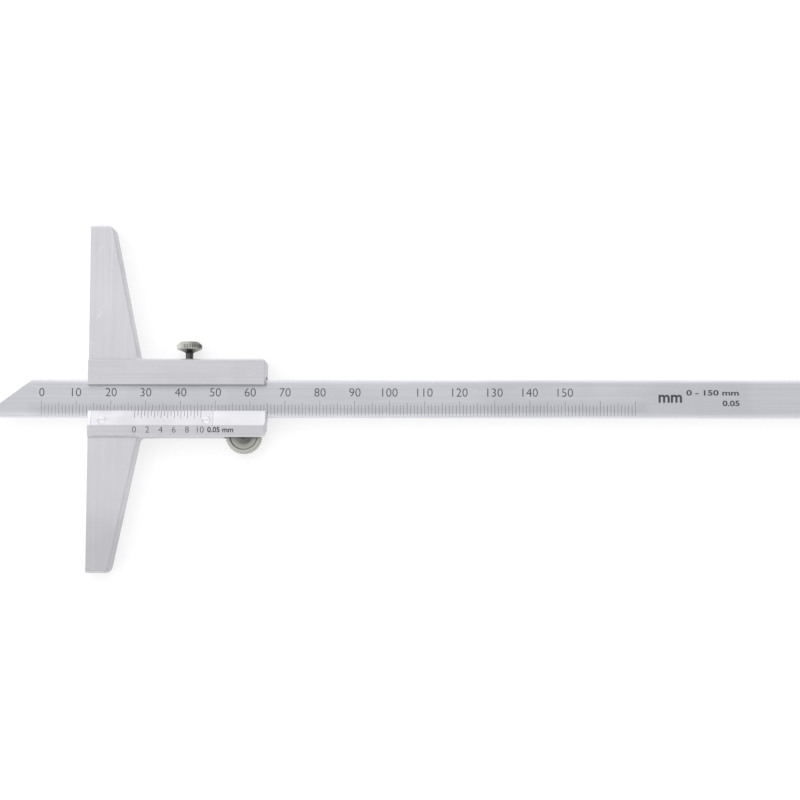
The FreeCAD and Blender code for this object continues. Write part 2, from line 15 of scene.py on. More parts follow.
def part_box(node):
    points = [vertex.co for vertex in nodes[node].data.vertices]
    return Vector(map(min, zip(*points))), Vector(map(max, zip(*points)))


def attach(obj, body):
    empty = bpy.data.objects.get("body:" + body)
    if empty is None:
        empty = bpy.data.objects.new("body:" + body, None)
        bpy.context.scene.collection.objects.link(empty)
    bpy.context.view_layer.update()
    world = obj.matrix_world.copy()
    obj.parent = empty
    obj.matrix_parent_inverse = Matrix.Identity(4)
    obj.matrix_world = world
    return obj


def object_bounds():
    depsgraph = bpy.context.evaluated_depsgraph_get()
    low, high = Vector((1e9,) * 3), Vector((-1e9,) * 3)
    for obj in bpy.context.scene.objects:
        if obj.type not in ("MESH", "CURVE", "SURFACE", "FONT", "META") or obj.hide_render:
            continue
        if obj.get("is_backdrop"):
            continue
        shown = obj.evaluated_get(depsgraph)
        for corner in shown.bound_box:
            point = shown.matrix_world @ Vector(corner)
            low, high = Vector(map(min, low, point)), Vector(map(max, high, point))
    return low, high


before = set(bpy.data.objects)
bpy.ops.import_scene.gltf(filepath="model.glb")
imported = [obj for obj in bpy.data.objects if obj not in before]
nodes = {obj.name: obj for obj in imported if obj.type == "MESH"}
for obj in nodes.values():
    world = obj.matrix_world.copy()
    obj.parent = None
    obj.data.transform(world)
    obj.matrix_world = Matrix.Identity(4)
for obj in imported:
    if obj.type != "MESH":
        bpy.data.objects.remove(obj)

MM = 0.001

low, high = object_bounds()
print("pieces loaded:", ", ".join(sorted(nodes)))

# %% [markdown]
# ## Colour
#
# Photographs of tools on white paper are close to plain sRGB. The Standard view keeps the greys
# of the steel as they are mixed here, where a filmic view would bend them.

# %% Colour
scene = bpy.context.scene
scene.view_settings.view_transform = "Standard"
scene.view_settings.look = "None"
print("view:", scene.view_settings.view_transform)

# %% [markdown]
# ## Camera
#
# The gauge is seen almost straight from above. A camera could be aimed with a Track To
# constraint, but here its three small leans matter, so its axes are turned one by one.
# The lens is worked out from how large a millimetre has to look.

# %% Camera
PICTURE_SIDE = 800
PIXELS_PER_MM = 3.4921
CAMERA_DISTANCE = 600 * MM
LEAN_X, LEAN_Y, LEAN_Z = (math.radians(angle) for angle in (-5.18, -1.78, -0.23))
AIM = Vector((89.34, -0.29, 4.0)) * MM
SENSOR_WIDTH = 36
CLIP_NEAR, CLIP_FAR = 0.01, 20


def add_camera():
    """A camera above the aim, leaned a little, that shows a millimetre at the asked size."""
    data = bpy.data.cameras.new("camera")
    focal_pixels = PIXELS_PER_MM * CAMERA_DISTANCE / MM
    data.sensor_width = SENSOR_WIDTH
    data.lens = SENSOR_WIDTH * focal_pixels / PICTURE_SIDE
    data.clip_start = CLIP_NEAR
    data.clip_end = CLIP_FAR
    camera = bpy.data.objects.new("camera", data)
    scene.collection.objects.link(camera)
    lean = (Matrix.Rotation(LEAN_Z, 3, "Z") @ Matrix.Rotation(LEAN_X, 3, "X")
            @ Matrix.Rotation(LEAN_Y, 3, "Y"))
    place = AIM + lean.transposed() @ Vector((0, 0, CAMERA_DISTANCE))
    camera.matrix_world = Matrix.Translation(place) @ lean.transposed().to_4x4()
    scene.camera = camera
    return camera


camera = add_camera()
print("lens in mm:", round(camera.data.lens, 1))

# %% [markdown]
# ## Light
#
# Satin steel shows what is around it, so its light is made of large, soft surfaces.
# A white tent surrounds the gauge. It is brightest overhead, a little towards the lock screw,
# so the upper wing looks paler than the lower one. Its left is lighter, and a dark panel stands
# at its right with a light rim below it. Flat faces hardly notice, but turned and knurled
# pieces get the light and the dark side that make them read as metal.

# %% Tent of light
TENT_LEAN = math.radians(24)
TENT_STEPS = ((0, 0.7), (0.6, 0.78), (0.88, 0.86), (1, 1.38))
SIDE_STEPS = ((0, 2.2), (0.25, 1.6), (0.36, 1.0), (0.66, 1.0), (0.77, 0.5), (0.92, 0.5),
              (1, 1.1))


def ramp_of(tree, steps):
    """A ramp of light levels, given as pairs of position and level."""
    ramp = tree.nodes.new("ShaderNodeValToRGB")
    places = ramp.color_ramp.elements
    for position, light in steps:
        ends = {0: places[0], 1: places[-1]}
        place = ends[position] if position in ends else places.new(position)
        place.color = (light, light, light, 1)
    return ramp


def add_world():
    """A tent of light: its level follows the angle to its leaned middle, and its side X."""
    world = bpy.data.worlds.new("studio")
    scene.world = world
    world.use_nodes = True
    tree = world.node_tree
    direction = tree.nodes.new("ShaderNodeTexCoord")
    towards_middle = tree.nodes.new("ShaderNodeVectorMath")
    towards_middle.operation = "DOT_PRODUCT"
    towards_middle.inputs[1].default_value = (0, math.sin(TENT_LEAN), math.cos(TENT_LEAN))
    split = tree.nodes.new("ShaderNodeSeparateXYZ")
    from_left = tree.nodes.new("ShaderNodeMapRange")
    from_left.inputs["From Min"].default_value = -1
    level = ramp_of(tree, TENT_STEPS)
    side = ramp_of(tree, SIDE_STEPS)
    background = tree.nodes["Background"]
    tree.links.new(direction.outputs["Generated"], towards_middle.inputs[0])
    tree.links.new(towards_middle.outputs["Value"], level.inputs["Fac"])
    tree.links.new(direction.outputs["Generated"], split.inputs[0])
    tree.links.new(split.outputs["X"], from_left.inputs["Value"])
    tree.links.new(from_left.outputs["Result"], side.inputs["Fac"])
    tree.links.new(level.outputs["Color"], background.inputs["Color"])
    tree.links.new(side.outputs["Color"], background.inputs["Strength"])
    return world


print("world:", add_world().name)

# %% [markdown]
# ## Soft box
#
# One long soft box stands behind the lock screw, where the bevel of the vernier mirrors it to
# the camera. That makes the bevel the brightest strip of the gauge. A lamp shines along its own
# -Z, so it is turned until that points at the middle of the gauge.

# %% Soft box
GAUGE_MIDDLE = Vector((0.09, 0, 0))
KEY_PLACE = Vector((0.12, 0.60, 0.68))
KEY_SIZE = (0.9, 0.35)
KEY_WATTS = 0.95


def add_soft_box(name, place, aim, size, watts):
    """A rectangular soft light at a place, facing the aim."""
    data = bpy.data.lights.new(name, "AREA")
    data.shape = "RECTANGLE"
    data.size, data.size_y = size
    data.energy = watts
    lamp = bpy.data.objects.new(name, data)
    lamp.location = place
    lamp.rotation_euler = (aim - place).to_track_quat("-Z", "Y").to_euler()
    scene.collection.objects.link(lamp)
    return lamp


add_soft_box("key_soft_box", KEY_PLACE, GAUGE_MIDDLE, KEY_SIZE, KEY_WATTS)

# %% [markdown]
# ## Floor
#
# Tools are often photographed on a light table: a white sheet that also glows a little, so that
# shadows stay faint and the sides of the metal stay light. The sheet is marked as stage, so it
# isn't part of the gauge.

# %% Floor
FLOOR_SIDE = 4.0
FLOOR_WHITE = 0.4
FLOOR_GLOW = 0.67
FLOOR_ROUGHNESS = 0.9


def mesh_object(name, shape):
    """A new mesh object from a bmesh, which is used up."""
    mesh = bpy.data.meshes.new(name)
    shape.to_mesh(mesh)
    shape.free()
    made = bpy.data.objects.new(name, mesh)
    scene.collection.objects.link(made)
    return made


def add_floor():
    """A flat square sheet at the height that the gauge lies on."""
    shape = bmesh.new()
    half = FLOOR_SIDE / 2
    around = ((-half, -half), (half, -half), (half, half), (-half, half))
    shape.faces.new([shape.verts.new((x, y, 0)) for x, y in around])
    floor = mesh_object("floor", shape)
    floor.location = (GAUGE_MIDDLE.x, 0, low.z)
    paper = bpy.data.materials.new("pale_paper")
    paper.use_nodes = True
    shader = paper.node_tree.nodes["Principled BSDF"]
    shader.inputs["Base Color"].default_value = (FLOOR_WHITE, FLOOR_WHITE, FLOOR_WHITE, 1)
    shader.inputs["Roughness"].default_value = FLOOR_ROUGHNESS
    shader.inputs["Emission Color"].default_value = (1, 1, 1, 1)
    shader.inputs["Emission Strength"].default_value = FLOOR_GLOW
    floor.data.materials.append(paper)
    floor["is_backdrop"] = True
    return floor


floor = add_floor()
print("floor:", floor.name, "with a side of", FLOOR_SIDE, "m")

# %% [markdown]
# ## The look of metal
#
# Five effects come back in the finishes, so each is a shader node group that is built
# once. A group only hands out values and normals. The Principled shader stays in the material,
# where its metallic and roughness sockets can be read by any other program. Three helpers make
# an empty group and the two kinds of node that come up most.

# %% Helpers for node groups
def new_group(name, inputs, outputs):
    """An empty shader group with named sockets, and its input and output nodes."""
    group = bpy.data.node_groups.new(name, "ShaderNodeTree")
    for label, kind, value in inputs:
        socket = group.interface.new_socket(label, in_out="INPUT", socket_type=kind)
        socket.default_value = value
    for label, kind in outputs:
        group.interface.new_socket(label, in_out="OUTPUT", socket_type=kind)
    return group, group.nodes.new("NodeGroupInput"), group.nodes.new("NodeGroupOutput")


def reckon(tree, kind, operation):
    """A Math or Vector Math node that is set to its operation."""
    node = tree.nodes.new(kind)
    node.operation = operation
    return node


def window(tree, start, end):
    """A Map Range node that goes from 0 at a start to 1 at an end."""
    node = tree.nodes.new("ShaderNodeMapRange")
    node.inputs["From Min"].default_value = start
    node.inputs["From Max"].default_value = end
    return node


FLOAT, VECTOR = "NodeSocketFloat", "NodeSocketVector"
MATH, VECTOR_MATH = "ShaderNodeMath", "ShaderNodeVectorMath"
print("kinds of socket and node:", FLOAT, VECTOR, MATH, VECTOR_MATH)

# %% [markdown]
# ## Ground grain
#
# A surface grinder leaves fine parallel lines. An image could hold them, but it would stretch
# over the long beam. Noise that is squeezed across the grain and drawn out along it has no
# seams and any length. The stretch is given in waves per millimetre along X, Y and Z.

# %% Ground grain group
# Each layer of noise: its output, its waves beside the stretch, and its detail.
GRAIN_LAYERS = (("Streak", 1.0, 2.0), ("Hairline", 5.0, 3.0))


def grain_group():
    """Broad streaks and fine hairlines along one direction, each from 0 to 1."""
    group, entry, result = new_group(
        "ground_grain",
        [("Stretch", VECTOR, (0.02, 1.5, 1.5))],
        [("Streak", FLOAT), ("Hairline", FLOAT)],
    )
    place = group.nodes.new("ShaderNodeTexCoord")
    in_mm = reckon(group, VECTOR_MATH, "SCALE")
    in_mm.inputs["Scale"].default_value = 1 / MM
    stretched = reckon(group, VECTOR_MATH, "MULTIPLY")
    group.links.new(place.outputs["Object"], in_mm.inputs[0])
    group.links.new(in_mm.outputs[0], stretched.inputs[0])
    group.links.new(entry.outputs["Stretch"], stretched.inputs[1])
    for label, waves, detail in GRAIN_LAYERS:
        noise = group.nodes.new("ShaderNodeTexNoise")
        noise.inputs["Scale"].default_value = waves
        noise.inputs["Detail"].default_value = detail
        group.links.new(stretched.outputs[0], noise.inputs["Vector"])
        group.links.new(noise.outputs["Fac"], result.inputs[label])
    return group


GRAIN = grain_group()
print("group:", GRAIN.name)

# %% [markdown]
# ## Broken edges
#
# No real edge is perfectly sharp: each catches a thin line of light. The finishes paint that
# line into the tone as a painted highlight, with the mask that this group gives. Rounding every
# edge in the mesh would change the measured model, so the Bevel node rounds only the shading.
# Where its normal leaves the true one, there is an edge.

# %% Broken edge group
EDGE_SAMPLES = 6


def edge_group():
    """A normal that is rounded at the edges, and a mask that is 1 there."""
    group, entry, result = new_group(
        "broken_edge",
        [("Radius", FLOAT, 0.15 * MM), ("Gain", FLOAT, 6.0)],
        [("Normal", VECTOR), ("Edge", FLOAT)],
    )
    rounded = group.nodes.new("ShaderNodeBevel")
    rounded.samples = EDGE_SAMPLES
    true_normal = group.nodes.new("ShaderNodeNewGeometry")
    likeness = reckon(group, VECTOR_MATH, "DOT_PRODUCT")
    unlike = reckon(group, MATH, "SUBTRACT")
    unlike.inputs[0].default_value = 1.0
    mask = reckon(group, MATH, "MULTIPLY")
    mask.use_clamp = True
    group.links.new(entry.outputs["Radius"], rounded.inputs["Radius"])
    group.links.new(rounded.outputs["Normal"], likeness.inputs[0])
    group.links.new(true_normal.outputs["Normal"], likeness.inputs[1])
    group.links.new(likeness.outputs["Value"], unlike.inputs[1])
    group.links.new(unlike.outputs[0], mask.inputs[0])
    group.links.new(entry.outputs["Gain"], mask.inputs[1])
    group.links.new(rounded.outputs["Normal"], result.inputs["Normal"])
    group.links.new(mask.outputs[0], result.inputs["Edge"])
    return group


EDGE = edge_group()
print("group:", EDGE.name)

# %% [markdown]
# ## Handling
#
# Fingers leave a thin film that dulls the steel in soft patches. It is broad, weak noise, and
# only the roughness and a little of the tone follow it.

# %% Handling group
FILM_DETAIL = 4.0
FILM_WARP = 0.4
FILM_FROM, FILM_TO = 0.35, 0.7


def film_group():
    """Soft patches from 0 to 1, of a size given in millimetres."""
    group, entry, result = new_group("handling_film", [("Size", FLOAT, 12.0)], [("Film", FLOAT)])
    place = group.nodes.new("ShaderNodeTexCoord")
    shrink = reckon(group, MATH, "DIVIDE")
    shrink.inputs[0].default_value = 1 / MM
    in_patches = reckon(group, VECTOR_MATH, "SCALE")
    noise = group.nodes.new("ShaderNodeTexNoise")
    noise.inputs["Scale"].default_value = 1.0
    noise.inputs["Detail"].default_value = FILM_DETAIL
    noise.inputs["Distortion"].default_value = FILM_WARP
    soft = window(group, FILM_FROM, FILM_TO)
    soft.interpolation_type = "SMOOTHSTEP"
    group.links.new(entry.outputs["Size"], shrink.inputs[1])
    group.links.new(place.outputs["Object"], in_patches.inputs[0])
    group.links.new(shrink.outputs[0], in_patches.inputs["Scale"])
    group.links.new(in_patches.outputs[0], noise.inputs["Vector"])
    group.links.new(noise.outputs["Fac"], soft.inputs["Value"])
    group.links.new(soft.outputs["Result"], result.inputs["Film"])
    return group


FILM = film_group()
print("group:", FILM.name)

# %% [markdown]
# ## Fine scratches
#
# A gauge that is slid, laid down and put away gets hair-fine scratches. Drawn out noise gives
# them when only its highest crests are kept. They are turned off the grain, and a broader
# noise leaves whole areas free of them, as on a real tool. They stay on the faces that the
# gauge is slid and laid down on, which face up or down.

# %% Scratch group
# Waves per millimetre along and across a scratch, and of the areas that have them.
SCRATCH_WAVES = (0.09, 2.2, 2.2)
AREA_WAVES = 0.12
SCRATCH_DETAIL, AREA_DETAIL = 1.0, 2.0
CREST_FROM, CREST_TO = 0.68, 0.74
AREA_FROM, AREA_TO = 0.45, 0.62


def scratch_group():
    """Sparse, thin lines from 0 to 1, at an angle about Z."""
    group, entry, result = new_group(
        "fine_scratches",
        [("Angle", FLOAT, 0.4), ("Seed", FLOAT, 0.0)],
        [("Scratch", FLOAT)],
    )
    place = group.nodes.new("ShaderNodeTexCoord")
    turned = group.nodes.new("ShaderNodeVectorRotate")
    turned.rotation_type = "Z_AXIS"
    drawn_out = reckon(group, VECTOR_MATH, "MULTIPLY")
    drawn_out.inputs[1].default_value = [waves / MM for waves in SCRATCH_WAVES]
    lines = group.nodes.new("ShaderNodeTexNoise")
    areas = group.nodes.new("ShaderNodeTexNoise")
    for noise, waves, detail in ((lines, 1.0, SCRATCH_DETAIL),
                                 (areas, AREA_WAVES / MM, AREA_DETAIL)):
        noise.noise_dimensions = "4D"
        noise.inputs["Scale"].default_value = waves
        noise.inputs["Detail"].default_value = detail
        group.links.new(entry.outputs["Seed"], noise.inputs["W"])
    crest = window(group, CREST_FROM, CREST_TO)
    where = window(group, AREA_FROM, AREA_TO)
    facing = group.nodes.new("ShaderNodeSeparateXYZ")
    level = reckon(group, MATH, "ABSOLUTE")
    kept = reckon(group, MATH, "MULTIPLY")
    flat = reckon(group, MATH, "MULTIPLY")
    links = group.links
    links.new(place.outputs["Object"], turned.inputs["Vector"])
    links.new(entry.outputs["Angle"], turned.inputs["Angle"])
    links.new(turned.outputs[0], drawn_out.inputs[0])
    links.new(drawn_out.outputs[0], lines.inputs["Vector"])
    links.new(place.outputs["Object"], areas.inputs["Vector"])
    links.new(lines.outputs["Fac"], crest.inputs["Value"])
    links.new(areas.outputs["Fac"], where.inputs["Value"])
    links.new(place.outputs["Normal"], facing.inputs[0])
    links.new(facing.outputs["Z"], level.inputs[0])
    links.new(crest.outputs["Result"], kept.inputs[0])
    links.new(where.outputs["Result"], kept.inputs[1])
    links.new(kept.outputs[0], flat.inputs[0])
    links.new(level.outputs[0], flat.inputs[1])
    links.new(flat.outputs[0], result.inputs["Scratch"])
    return group


SCRATCH = scratch_group()
print("group:", SCRATCH.name)

# %% [markdown]
# ## Turned pieces
#
# The knurled pieces were made on a lathe. Their look follows the distance from the axis that
# they turned about: rings on the flat faces, and painted shade towards the axis. The group takes a
# point of the axis and the two directions across it.

# %% Lathe group
RING_DETAIL = 3.0


def lathe_group():
    """Rings around an axis, and how far out a point lies between root and crest."""
    group, entry, result = new_group(
        "lathe_marks",
        [("Centre", VECTOR, (0, 0, 0)), ("Across", VECTOR, (1, 1, 0)),
         ("Root", FLOAT, 1.0), ("Crest", FLOAT, 2.0), ("Rings per mm", FLOAT, 4.0)],
        [("Ring", FLOAT), ("Out", FLOAT)],
    )
    place = group.nodes.new("ShaderNodeTexCoord")
    offset = reckon(group, VECTOR_MATH, "SUBTRACT")
    flat = reckon(group, VECTOR_MATH, "MULTIPLY")
    distance = reckon(group, VECTOR_MATH, "LENGTH")
    in_mm = reckon(group, MATH, "DIVIDE")
    in_mm.inputs[1].default_value = MM
    rings = reckon(group, MATH, "MULTIPLY")
    noise = group.nodes.new("ShaderNodeTexNoise")
    noise.noise_dimensions = "1D"
    noise.inputs["Scale"].default_value = 1.0
    noise.inputs["Detail"].default_value = RING_DETAIL
    out = group.nodes.new("ShaderNodeMapRange")
    links = group.links
    links.new(place.outputs["Object"], offset.inputs[0])
    links.new(entry.outputs["Centre"], offset.inputs[1])
    links.new(offset.outputs[0], flat.inputs[0])
    links.new(entry.outputs["Across"], flat.inputs[1])
    links.new(flat.outputs[0], distance.inputs[0])
    links.new(distance.outputs["Value"], in_mm.inputs[0])
    links.new(in_mm.outputs[0], rings.inputs[0])
    links.new(entry.outputs["Rings per mm"], rings.inputs[1])
    links.new(rings.outputs[0], noise.inputs["W"])
    links.new(in_mm.outputs[0], out.inputs["Value"])
    links.new(entry.outputs["Root"], out.inputs["From Min"])
    links.new(entry.outputs["Crest"], out.inputs["From Max"])
    links.new(noise.outputs["Fac"], result.inputs["Ring"])
    links.new(out.outputs["Result"], result.inputs["Out"])
    return group


LATHE = lathe_group()
print("group:", LATHE.name)

# %% [markdown]
# ## A bench for materials
#
# Every finish below is started, fed and ended in the same way. What is the same all over the
# surface is set on the shader's own sockets at the start, groups are placed with their own
# values, and at the end what varies is linked to the shader.

# %% Start and end of a material
def start_material(name, metallic, roughness, tone):
    """A new material and its shader, with the values that are the same all over."""
    material = bpy.data.materials.new(name)
    material.use_nodes = True
    shader = material.node_tree.nodes["Principled BSDF"]
    shader.inputs["Metallic"].default_value = metallic
    shader.inputs["Roughness"].default_value = roughness
    shader.inputs["Base Color"].default_value = (*tone, 1)
    return material, shader


def place_group(material, group, **values):
    """A copy of a group in a material, with its own values. Underscores stand for spaces."""
    node = material.node_tree.nodes.new("ShaderNodeGroup")
    node.node_tree = group
    for label, value in values.items():
        node.inputs[label.replace("_", " ")].default_value = value
    return node


def finish_with(material, shader, **sockets):
    """Feeds sockets of the shader. Underscores in the names stand for spaces."""
    for label, source in sockets.items():
        material.node_tree.links.new(source, shader.inputs[label.replace("_", " ")])


print("groups to place:", GRAIN.name, EDGE.name, FILM.name, SCRATCH.name, LATHE.name)

# %% [markdown]
# ## Mixing and mapping
#
# Between start and end stand four moves: mix two tones by a mask, map a mask to a range such
# as a roughness, put two masks together, and lay a bump on the rounded normal. Written once,
# they keep each finish short enough to read as a recipe.

# %% Mix, map and bump
def mix_tones(material, mask, dark, light):
    """A colour between two tones or colour sockets, chosen by a mask."""
    mix = material.node_tree.nodes.new("ShaderNodeMix")
    mix.data_type = "RGBA"
    material.node_tree.links.new(mask, mix.inputs["Factor"])
    for socket, tone in ((mix.inputs["A"], dark), (mix.inputs["B"], light)):
        if isinstance(tone, bpy.types.NodeSocket):
            material.node_tree.links.new(tone, socket)
        else:
            socket.default_value = (*tone, 1)
    return mix.outputs["Result"]


def spread(material, mask, low_value, high_value):
    """The mask mapped to a range of values."""
    span = material.node_tree.nodes.new("ShaderNodeMapRange")
    span.inputs["To Min"].default_value = low_value
    span.inputs["To Max"].default_value = high_value
    material.node_tree.links.new(mask, span.inputs["Value"])
    return span.outputs["Result"]


def combine(material, operation, first, second):
    """Two masks or numbers put together by a Math node."""
    node = reckon(material.node_tree, MATH, operation)
    for socket, value in zip(node.inputs, (first, second)):
        if isinstance(value, bpy.types.NodeSocket):
            material.node_tree.links.new(value, socket)
        else:
            socket.default_value = value
    return node.outputs[0]


def bump(material, height, depth, normal):
    """A bump of a depth in millimetres, laid on a normal."""
    node = material.node_tree.nodes.new("ShaderNodeBump")
    node.inputs["Distance"].default_value = depth * MM
    material.node_tree.links.new(height, node.inputs["Height"])
    material.node_tree.links.new(normal, node.inputs["Normal"])
    return node.outputs["Normal"]


print("moves: mix_tones, spread, combine, bump")

# %% [markdown]
# ## Satin steel
#
# Base, slider and beam are stainless steel, ground and then dulled so that the scale can be
# read without glare. The recipe has two close tones mixed along the grain, a roughness that
# the handling film changes a little, hairlines and scratches as a shallow bump, and edges
# painted brighter as a painted highlight.

# %% Satin steel recipe
ALONG_X = (0.02, 1.6, 1.6)
STREAK_SPREAD = (-0.35, 1.35)
FILM_DULLS = (1.0, 0.55)
HAIRLINE_ROUGHNESS = 0.05
HAIRLINE_DEPTH = 0.004
SCRATCH_SHINE = 0.4
# Each set of scratches: its angle in radians and its seed.
SCRATCH_TURNS = ((0.35, 3.0), (-0.9, 8.0))


def satin_steel(name, dark, light, scratch_and_edge_highlight_tone, roughness, stretch=ALONG_X, radius=0.15,
                film_size=14.0):
    """Ground steel between two tones. Its grain runs the way that has the smallest stretch."""
    rough_low, rough_high = roughness
    material, shader = start_material(name, 1.0, rough_low, light)
    grain = place_group(material, GRAIN, Stretch=stretch)
    edge = place_group(material, EDGE, Radius=radius * MM)
    film = place_group(material, FILM, Size=film_size)
    streak = spread(material, grain.outputs["Streak"], *STREAK_SPREAD)
    clean = spread(material, film.outputs["Film"], *FILM_DULLS)
    worn = combine(material, "MULTIPLY", streak, clean)
    tone = mix_tones(material, worn, dark, light)
    for angle, seed in SCRATCH_TURNS:
        scratch = place_group(material, SCRATCH, Angle=angle, Seed=seed)
        faint = combine(material, "MULTIPLY", scratch.outputs["Scratch"], SCRATCH_SHINE)
        tone = mix_tones(material, faint, tone, scratch_and_edge_highlight_tone)
    # The edges are painted brighter, as a painted highlight; the scratches above share this tone.
    tone = mix_tones(material, edge.outputs["Edge"], tone, scratch_and_edge_highlight_tone)
    rough = spread(material, film.outputs["Film"], rough_low, rough_high)
    fine = spread(material, grain.outputs["Hairline"], -HAIRLINE_ROUGHNESS, HAIRLINE_ROUGHNESS)
    rough = combine(material, "ADD", rough, fine)
    cut = combine(material, "SUBTRACT", grain.outputs["Hairline"], faint)
    normal = bump(material, cut, HAIRLINE_DEPTH, edge.outputs["Normal"])
    finish_with(material, shader, Base_Color=tone, Roughness=rough, Normal=normal)
    return material, grain


vernier_steel, _ = satin_steel("satin_vernier_steel", dark=(0.50, 0.50, 0.525),
                               light=(0.57, 0.57, 0.595), scratch_and_edge_highlight_tone=(0.70, 0.70, 0.72),
                               roughness=(0.32, 0.40), radius=0.08)
print("finish:", vernier_steel.name)

# %% [markdown]
# ## Places on a piece
#
# Some finishes belong to one place only: the beam is rubbed brighter where the slider's lips
# run on it, and the measuring faces are lapped almost to a mirror. Painting such places would
# need an unwrapped mesh. The pieces stand square on the axes, so a coordinate is enough, and
# it is exact.

# %% Masks from a coordinate
def coordinates(material, kind="Object"):
    """The X, Y and Z of a point on the piece, in metres, or of its normal."""
    place = material.node_tree.nodes.new("ShaderNodeTexCoord")
    split = material.node_tree.nodes.new("ShaderNodeSeparateXYZ")
    material.node_tree.links.new(place.outputs[kind], split.inputs[0])
    return split.outputs


def unsigned(material, value):
    """A value without its sign."""
    return combine(material, "ABSOLUTE", value, 0.0)


def band(material, value, middle, half_width):
    """A soft mask: 1 at a middle, and 0 beyond a half width, both in millimetres."""
    away = unsigned(material, combine(material, "SUBTRACT", value, middle * MM))
    fade = window(material.node_tree, 0.0, half_width * MM)
    fade.interpolation_type = "SMOOTHSTEP"
    fade.inputs["To Min"].default_value = 1.0
    fade.inputs["To Max"].default_value = 0.0
    material.node_tree.links.new(away, fade.inputs["Value"])
    return fade.outputs["Result"]


def growing(material, value, start, end):
    """A soft mask: 0 at a start and 1 from an end on, both in millimetres."""
    rise = window(material.node_tree, start * MM, end * MM)
    rise.interpolation_type = "SMOOTHSTEP"
    material.node_tree.links.new(value, rise.inputs["Value"])
    return rise.outputs["Result"]


print("masks: band, growing")

# %% [markdown]
# ## Chamfers and factors
#
# The chamfers are painted brighter than the flat faces, as a painted highlight. They need no
# coordinate: what tells them from the faces is how far their normal leans. A mask then
# multiplies the tone or the roughness, so the place keeps the grain and the scratches of the
# whole piece.

# %% Chamfers and factors
CHAMFER_LEAN = math.cos(math.radians(45))
CHAMFER_SPAN = 0.2


def chamfers(material):
    """A mask that is 1 where the surface leans at 45 degrees to the front and the back."""
    lean = unsigned(material, coordinates(material, "Normal")["Z"])
    off = unsigned(material, combine(material, "SUBTRACT", lean, CHAMFER_LEAN))
    return combine(material, "LESS_THAN", off, CHAMFER_SPAN)


def scaled(material, label, mask, times):
    """Multiplies the tone or the roughness of a finish where the mask is 1."""
    links = material.node_tree.links
    socket = material.node_tree.nodes["Principled BSDF"].inputs[label]
    source = socket.links[0].from_socket
    factor = spread(material, mask, 1.0, times)
    if label == "Base Color":
        node = reckon(material.node_tree, VECTOR_MATH, "SCALE")
        links.new(source, node.inputs[0])
        links.new(factor, node.inputs["Scale"])
        links.new(node.outputs[0], socket)
    else:
        links.new(combine(material, "MULTIPLY", source, factor), socket)


print("a chamfer's normal leans within", CHAMFER_SPAN, "of", round(CHAMFER_LEAN, 3))

# %% [markdown]
# ## Beam
#
# The beam is the darkest of the satin pieces, with a cool tone. Under the two lips it is
# rubbed: those bands along its edges are paler and smoother, and break up along the grain.
# Wiping the ink off the scale left a faint grey haze between the lines. The tip that touches
# the bottom of what is measured is lapped smooth.

# %% Beam steel
beam_low, beam_high = (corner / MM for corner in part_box("beam"))
SCALE_ZERO_FROM_TIP = 13.5
scale_zero_x = beam_low.x + SCALE_ZERO_FROM_TIP
SCALE_LENGTH = 170
RUB_MIDDLE, RUB_HALF_WIDTH = 5.1, 1.3
RUB_STREAKS = (0.3, 1.5)
RUBBED_TONE, RUBBED_ROUGHNESS = 1.25, 0.85
BEAM_CHAMFER_HIGHLIGHT = 1.25
HAZE_MIDDLE, HAZE_HALF_WIDTH, HAZE_FADE = -3.0, 2.6, 6
HAZE_TONE = 0.90
LAPPED_DEPTH = 0.02
LAPPED_ROUGHNESS = 0.35


def make_beam_steel():
    """Satin steel with rubbed edges, a haze between its lines and a lapped tip."""
    material, grain = satin_steel("satin_beam_steel", dark=(0.49, 0.495, 0.53),
                                  light=(0.575, 0.58, 0.62), scratch_and_edge_highlight_tone=(0.76, 0.76, 0.79),
                                  roughness=(0.34, 0.44), radius=0.25)
    place = coordinates(material)
    beside = unsigned(material, place["Y"])
    rubbed = band(material, beside, RUB_MIDDLE, RUB_HALF_WIDTH)
    broken_up = spread(material, grain.outputs["Streak"], *RUB_STREAKS)
    rubbed = combine(material, "MULTIPLY", rubbed, broken_up)
    scaled(material, "Base Color", rubbed, RUBBED_TONE)
    scaled(material, "Roughness", rubbed, RUBBED_ROUGHNESS)
    # The chamfers are painted brighter, as a painted highlight.
    scaled(material, "Base Color", chamfers(material), BEAM_CHAMFER_HIGHLIGHT)
    from_zero = combine(material, "SUBTRACT", place["X"], scale_zero_x * MM)
    to_end = combine(material, "SUBTRACT", SCALE_LENGTH * MM, from_zero)
    hazed = band(material, place["Y"], HAZE_MIDDLE, HAZE_HALF_WIDTH)
    for inside in (from_zero, to_end):
        hazed = combine(material, "MULTIPLY", hazed, growing(material, inside, -HAZE_FADE, 0))
    scaled(material, "Base Color", hazed, HAZE_TONE)
    lapped = combine(material, "LESS_THAN", place["X"], (beam_low.x + LAPPED_DEPTH) * MM)
    scaled(material, "Roughness", lapped, LAPPED_ROUGHNESS)
    return material


beam_steel = make_beam_steel()
print("finish:", beam_steel.name)

# %% [markdown]
# ## Turning the grain
#
# A piece can be ground one way in one place and another way in the next. The grain follows its
# stretch, so a Mix node of the vector kind that swaps the stretch's X and Y by a mask turns the
# grain there. Two materials could do it too, but the mesh would have to be cut between them.

# %% Turning the grain
ALONG_Y = (1.6, 0.02, 1.6)


def turn_grain(material, grain, mask):
    """Turns the grain of a finish from along X to along Y where the mask is 1."""
    turn = material.node_tree.nodes.new("ShaderNodeMix")
    turn.data_type = "VECTOR"
    turn.inputs["A"].default_value = ALONG_X
    turn.inputs["B"].default_value = ALONG_Y
    material.node_tree.links.new(mask, turn.inputs["Factor"])
    material.node_tree.links.new(turn.outputs["Result"], grain.inputs["Stretch"])


print("waves per mm of the two grains:", ALONG_X, ALONG_Y)
